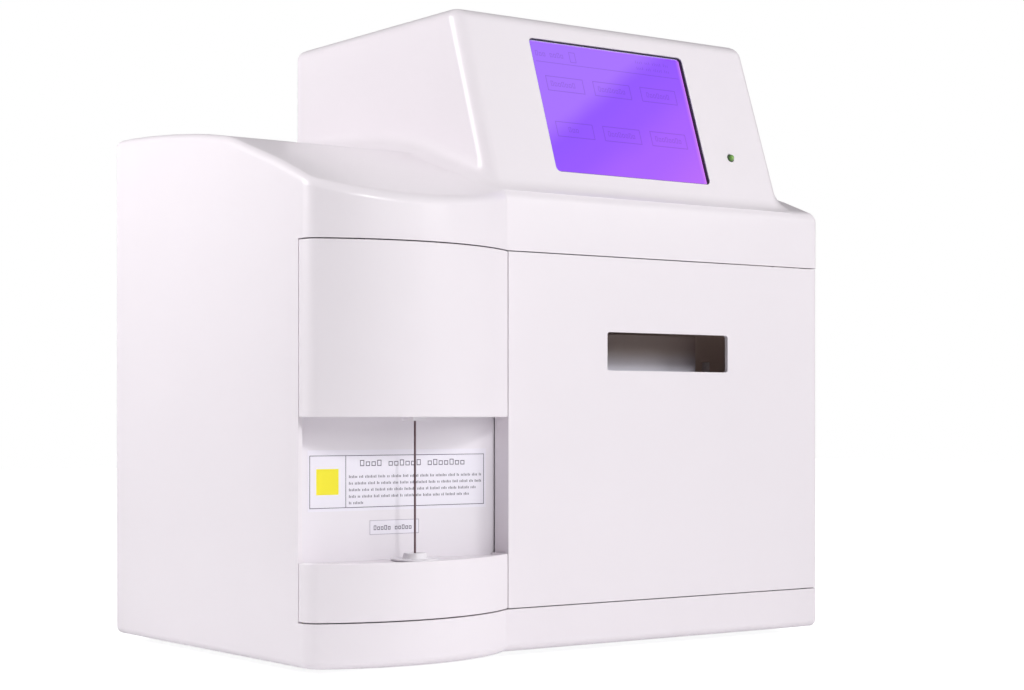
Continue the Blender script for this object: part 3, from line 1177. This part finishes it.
def build_supply(materials):
    back = REAR_Y - SUPPLY_BACK_GAP
    floor = DECK_Z + SEAT_GAP
    supply = box("power_supply", (SUPPLY_LEFT, back - SUPPLY_DEPTH, floor), (SUPPLY_RIGHT, back, floor + SUPPLY_RISE),
                 materials["zinc"])
    middle = (SUPPLY_LEFT + SUPPLY_RIGHT) / 2
    vents = []
    for index in range(VENT_COUNT):
        x = middle + (index - (VENT_COUNT - 1) / 2) * VENT_PITCH - VENT_WIDTH / 2
        y = back - SUPPLY_DEPTH / 2 - VENT_LENGTH / 2
        vents.append(box("supply_vent", (x, y, floor + SUPPLY_RISE - VENT_DEPTH),
                         (x + VENT_WIDTH, y + VENT_LENGTH, floor + SUPPLY_RISE + OVERRUN)))
    subtract(supply, *vents)


def window_outline(inset):
    """The screen window's rounded outline in the face's frame, inset all round."""
    half_width = SCREEN_WIDTH / 2 - inset
    half_rise = SCREEN_RISE / 2 - inset
    return rounded_rectangle(-half_width, half_width, -half_rise, half_rise, SCREEN_CORNER_RADIUS - inset)


def build_display(materials):
    """Stack behind the leaning face, from the wall inwards."""
    x = SCREEN_CENTRE_X
    z = BASE_Z + SCREEN_CENTRE_HEIGHT
    half_width = SCREEN_WIDTH / 2
    half_rise = SCREEN_RISE / 2
    near = WALL + SEAT_GAP
    edge = GASKET_WIDTH
    gasket = box("display_gasket", (-half_width - edge, near, -half_rise - edge),
                 (half_width + edge, near + GASKET_THICKNESS, half_rise + edge), materials["black"])
    liner = prism("gasket_liner", window_outline(LINER_GAP), LINER_DROP, near + GASKET_THICKNESS / 2, None, "Y")
    hole = prism("gasket_window", window_outline(LINER_GAP + LINER_WALL), near - OVERRUN, near + OVERRUN, None, "Y")
    for piece in (gasket, liner, hole):
        on_face(piece, x, z)
    join(gasket, liner)
    subtract(gasket, hole)
    near += GASKET_THICKNESS + SEAT_GAP
    layers = (
        ("touch_panel", TOUCH_MARGIN, TOUCH_THICKNESS, "screen"),
        ("lcd_module", LCD_MARGIN, LCD_THICKNESS, "steel"),
    )
    for name, margin, thickness, slot in layers:
        layer = box(name, (-half_width - margin, near, -half_rise - margin),
                    (half_width + margin, near + thickness, half_rise + margin), materials[slot])
        on_face(layer, x, z)
        if name == "touch_panel":
            plateau = prism("touch_plateau", window_outline(TOUCH_GAP), TOUCH_RECESS, near + thickness / 2, None, "Y")
            join(layer, on_face(plateau, x, z))
        near += thickness + SEAT_GAP
    collar_y = WALL + SEAT_GAP
    profile = (
        (LED_RADIUS / 2, -LED_STAND - LED_RADIUS / 2), (LED_RADIUS * cos(radians(30)), -LED_STAND),
        (LED_RADIUS, LED_STAND), (LED_RADIUS, collar_y), (LED_RADIUS + LED_COLLAR, collar_y),
        (LED_RADIUS + LED_COLLAR, collar_y + LED_COLLAR), (LED_RADIUS, collar_y + LED_COLLAR), (LED_RADIUS, LED_LENGTH),
    )
    lamp = turned("status_led", (0, 0), profile, materials["light"], "Y", SMALL_ROUND_SEGMENTS)
    on_face(lamp, LED_X, BASE_Z + LED_HEIGHT)


def build_rear(materials):
    """Rear panel with its openings, the sockets in them and its screws."""
    lap = REAR_MARGIN - REAR_LAP
    y0 = REAR_Y
    y1 = REAR_Y + REAR_SHEET
    low = BASE_Z + REAR_MARGIN - REAR_LAP
    high = BASE_Z + REAR_TOP_HEIGHT
    panel = box("rear_panel", (lap - HALF_WIDTH, y0, low), (HALF_WIDTH - lap, y1, high), materials["zinc"])
    cutters = []
    fan_z = BASE_Z + FAN_HEIGHT
    for index in range(GRILLE_SLOT_COUNT):
        offset = (index - (GRILLE_SLOT_COUNT - 1) / 2) * GRILLE_PITCH
        half = sqrt(FAN_BORE_RADIUS ** 2 - offset ** 2) - GRILLE_SLOT_WIDTH
        cutters.append(box("fan_grille_slot", (FAN_X - half, y0 - OVERRUN, fan_z + offset - GRILLE_SLOT_WIDTH / 2),
                           (FAN_X + half, y1 + OVERRUN, fan_z + offset + GRILLE_SLOT_WIDTH / 2)))
    openings = (
        ("inlet_opening", INLET_X, INLET_HEIGHT, INLET_WIDTH, INLET_RISE),
        ("rocker_opening", ROCKER_X, INLET_HEIGHT, ROCKER_HOUSING_WIDTH, ROCKER_HOUSING_RISE),
        ("port_opening", PORT_X, PORT_HEIGHT, PORT_SHELL_WIDTH, PORT_SHELL_RISE),
    )
    for name, x, height, width, rise in openings:
        z = BASE_Z + height
        cutters.append(box(name, (x - width / 2 - SEAT_GAP, y0 - OVERRUN, z - rise / 2 - SEAT_GAP),
                           (x + width / 2 + SEAT_GAP, y1 + OVERRUN, z + rise / 2 + SEAT_GAP)))
    places = []
    for x in (lap + SCREW_INSET - HALF_WIDTH, HALF_WIDTH - lap - SCREW_INSET):
        for z in (low + SCREW_INSET, high - REAR_LAP - SCREW_INSET):
            places.append((x, z))
    for place in places:
        cutters.append(rod("rear_screw_hole", place, SCREW_SHANK_RADIUS + SEAT_GAP, y0 - OVERRUN, y1 + OVERRUN,
                           axis="Y", count=12))
    subtract(panel, *cutters)
    for number, place in enumerate(places, 1):
        head = y1 + SEAT_GAP
        profile = (
            (SCREW_SHANK_RADIUS, head - SCREW_SHANK_LENGTH), (SCREW_SHANK_RADIUS, head), (SCREW_HEAD_RADIUS, head),
            (SCREW_HEAD_RADIUS * cos(radians(30)), head + SCREW_HEAD_RISE),
        )
        turned("rear_screw_%d" % number, place, profile, materials["steel"], "Y", SMALL_ROUND_SEGMENTS)


def build_inlet(materials):
    """Appliance inlet: a flanged cup with its contact blades."""
    y1 = REAR_Y + REAR_SHEET
    z = BASE_Z + INLET_HEIGHT
    half_width = INLET_WIDTH / 2
    half_rise = INLET_RISE / 2
    mouth = y1 + SEAT_GAP + INLET_FLANGE_THICKNESS
    inlet = box("mains_inlet", (INLET_X - half_width, mouth - INLET_DEPTH, z - half_rise),
                (INLET_X + half_width, mouth - INLET_FLANGE_THICKNESS / 2, z + half_rise), materials["black"])
    flange = box("inlet_flange", (INLET_X - half_width - INLET_FLANGE, mouth - INLET_FLANGE_THICKNESS, z - half_rise - INLET_FLANGE),
                 (INLET_X + half_width + INLET_FLANGE, mouth, z + half_rise + INLET_FLANGE))
    join(inlet, flange)
    cup = prism("inlet_cup", rounded_rectangle(INLET_X - half_width + INLET_WALL, INLET_X + half_width - INLET_WALL,
                                               z - half_rise + INLET_WALL, z + half_rise - INLET_WALL, INLET_CORNER),
                mouth - INLET_DEPTH + INLET_WALL, mouth + OVERRUN, None, "Y")
    subtract(inlet, cup)
    blades = []
    for dx, dz in ((-BLADE_SPREAD, -BLADE_WIDTH), (0, BLADE_WIDTH), (BLADE_SPREAD, -BLADE_WIDTH)):
        x = INLET_X + dx
        blades.append(box("inlet_blade", (x - BLADE_WIDTH / 2, mouth - INLET_DEPTH + INLET_WALL / 2, z + dz - BLADE_RISE / 2),
                          (x + BLADE_WIDTH / 2, mouth - INLET_DEPTH / 2, z + dz + BLADE_RISE / 2)))
    join(inlet, *blades)


def build_power_switch(materials):
    """Rocker switch: its housing sits in the rear panel and the rocker turns across it."""
    y1 = REAR_Y + REAR_SHEET
    z = BASE_Z + INLET_HEIGHT
    half_width = ROCKER_HOUSING_WIDTH / 2
    half_rise = ROCKER_HOUSING_RISE / 2
    face = y1 + SEAT_GAP + ROCKER_WALL
    depth = face - ROCKER_REACH - ROCKER_WALL - SEAT_GAP
    housing = box("switch_housing", (ROCKER_X - half_width, depth - ROCKER_WALL, z - half_rise),
                  (ROCKER_X + half_width, face - ROCKER_WALL / 2, z + half_rise), materials["black"])
    flange = box("switch_flange", (ROCKER_X - half_width - ROCKER_WALL, y1 + SEAT_GAP, z - half_rise - ROCKER_WALL),
                 (ROCKER_X + half_width + ROCKER_WALL, face, z + half_rise + ROCKER_WALL))
    join(housing, flange)
    inner_x = half_width - ROCKER_WALL
    inner_z = half_rise - ROCKER_WALL
    well = box("switch_well", (ROCKER_X - inner_x, depth, z - inner_z), (ROCKER_X + inner_x, face + OVERRUN, z + inner_z))
    subtract(housing, well)
    pivot_y = face - ROCKER_PIVOT_DEPTH
    reach = inner_z - 2 * ROCKER_CLEARANCE
    proud = face + ROCKER_STAND
    outline = (
        (face - ROCKER_REACH, z - ROCKER_BACK_RISE), (pivot_y, z - reach), (proud, z - reach), (proud, z),
        (proud - ROCKER_TILT_SHARE * reach, z + reach), (pivot_y - ROCKER_PIVOT_DEPTH, z + reach),
        (face - ROCKER_REACH, z + ROCKER_BACK_RISE),
    )
    width = inner_x - ROCKER_CLEARANCE
    rocker = prism("power_rocker", outline, ROCKER_X - width, ROCKER_X + width, materials["black"], "X")
    return rocker, (ROCKER_X, pivot_y, z)


def build_port(materials):
    y1 = REAR_Y + REAR_SHEET
    z = BASE_Z + PORT_HEIGHT
    back = REAR_Y - SEAT_GAP
    port = box("serial_port", (PORT_X - PORT_WIDTH / 2, back - PORT_BODY_DEPTH, z - PORT_PLATE_RISE / 2),
               (PORT_X + PORT_WIDTH / 2, back, z + PORT_PLATE_RISE / 2), materials["steel"])
    shell = box("port_shell", (PORT_X - PORT_SHELL_WIDTH / 2, back - PORT_BODY_DEPTH / 2, z - PORT_SHELL_RISE / 2),
                (PORT_X + PORT_SHELL_WIDTH / 2, y1 + PORT_SHELL_REACH, z + PORT_SHELL_RISE / 2))
    join(port, shell)


def build_fan(materials):
    """Axial fan on the rear panel, its rotor on a shaft held by the frame's spokes."""
    cx = FAN_X
    cz = BASE_Z + FAN_HEIGHT
    back = REAR_Y - SEAT_GAP
    front = back - FAN_DEPTH
    half = FAN_SIZE / 2
    frame = box("fan_frame", (cx - half, front, cz - half), (cx + half, back, cz + half), materials["black"])
    bore = rod("fan_bore", (cx, cz), FAN_BORE_RADIUS, front - OVERRUN, back + OVERRUN, axis="Y", count=ROUND_SEGMENTS)
    subtract(frame, bore)
    spokes = [
        box("fan_spoke", (cx - half + FAN_SPOKE_WIDTH / 2, front, cz - FAN_SPOKE_WIDTH / 2),
            (cx + half - FAN_SPOKE_WIDTH / 2, front + FAN_SPOKE_THICKNESS, cz + FAN_SPOKE_WIDTH / 2)),
        rod("fan_motor_seat", (cx, cz), FAN_HUB_RADIUS, front + FAN_SPOKE_THICKNESS / 3,
            front + FAN_SPOKE_THICKNESS, axis="Y", count=ROUND_SEGMENTS),
    ]
    join(frame, *spokes)
    shaft_bore = rod("fan_shaft_bore", (cx, cz), FAN_SHAFT_RADIUS + ROD_CLEARANCE, front - OVERRUN,
                     front + FAN_SPOKE_THICKNESS + OVERRUN, axis="Y", count=12)
    subtract(frame, shaft_bore)
    hub_front = front + FAN_SPOKE_THICKNESS + SEAT_GAP
    hub_back = hub_front + FAN_HUB_DEPTH
    profile = (
        (FAN_SHAFT_RADIUS, front + SEAT_GAP), (FAN_SHAFT_RADIUS, hub_front), (FAN_HUB_RADIUS, hub_front),
        (FAN_HUB_RADIUS, hub_back),
    )
    rotor = turned("fan_rotor", (cx, cz), profile, materials["black"], "Y")
    blades = []
    tip = FAN_BORE_RADIUS - FAN_BLADE_CLEARANCE
    for index in range(FAN_BLADE_COUNT):
        blade = box("fan_blade", (FAN_HUB_RADIUS - FAN_BLADE_THICKNESS, -FAN_HUB_DEPTH / 2 + FAN_BLADE_THICKNESS, -FAN_BLADE_THICKNESS / 2),
                    (tip, FAN_HUB_DEPTH / 2 - FAN_BLADE_THICKNESS, FAN_BLADE_THICKNESS / 2))
        turn = Matrix.Rotation(2 * pi * index / FAN_BLADE_COUNT, 4, "Y") @ Matrix.Rotation(radians(35), 4, "X")
        blade.data.transform(Matrix.Translation((cx, (hub_front + hub_back) / 2, cz)) @ turn)
        blades.append(blade)
    join(rotor, *blades)
    return rotor, (cx, (hub_front + hub_back) / 2, cz)


def build():
    clear_scene()
    materials = make_materials()
    build_housing(materials)
    build_sample_cover(materials)
    build_lower_cover(materials)
    build_bay_panel(materials)
    build_wash_cup(materials)
    build_probe_guide(materials)
    probe = build_probe(materials)
    carriage, screw = build_sampler(materials)
    door_pieces = build_door(materials)
    build_hinges(materials)
    build_door_frame(materials)
    build_chassis(materials)
    latch, latch_pivot = build_measuring_unit(materials)
    pump_rotor, pump_centre = build_pump(materials)
    build_packs(materials)
    build_base(materials)
    build_boards(materials)
    build_supply(materials)
    build_display(materials)
    build_rear(materials)
    build_inlet(materials)
    rocker, rocker_pivot = build_power_switch(materials)
    build_port(materials)
    fan_rotor, fan_centre = build_fan(materials)
    add_axis("door_axis", (PIVOT_X, PIVOT_Y, SKIRT_Z), door_pieces)
    add_axis("probe_axis", (PROBE_X, PROBE_Y, BASE_Z + CARRIAGE_HEIGHT), [probe, carriage])
    add_axis("screw_axis", (SCREW_X, SCREW_Y, SAMPLER_Z), [screw])
    add_axis("latch_axis", latch_pivot, [latch])
    add_axis("pump_axis", pump_centre, [pump_rotor])
    add_axis("rocker_axis", rocker_pivot, [rocker])
    add_axis("fan_axis", fan_centre, [fan_rotor])


build()
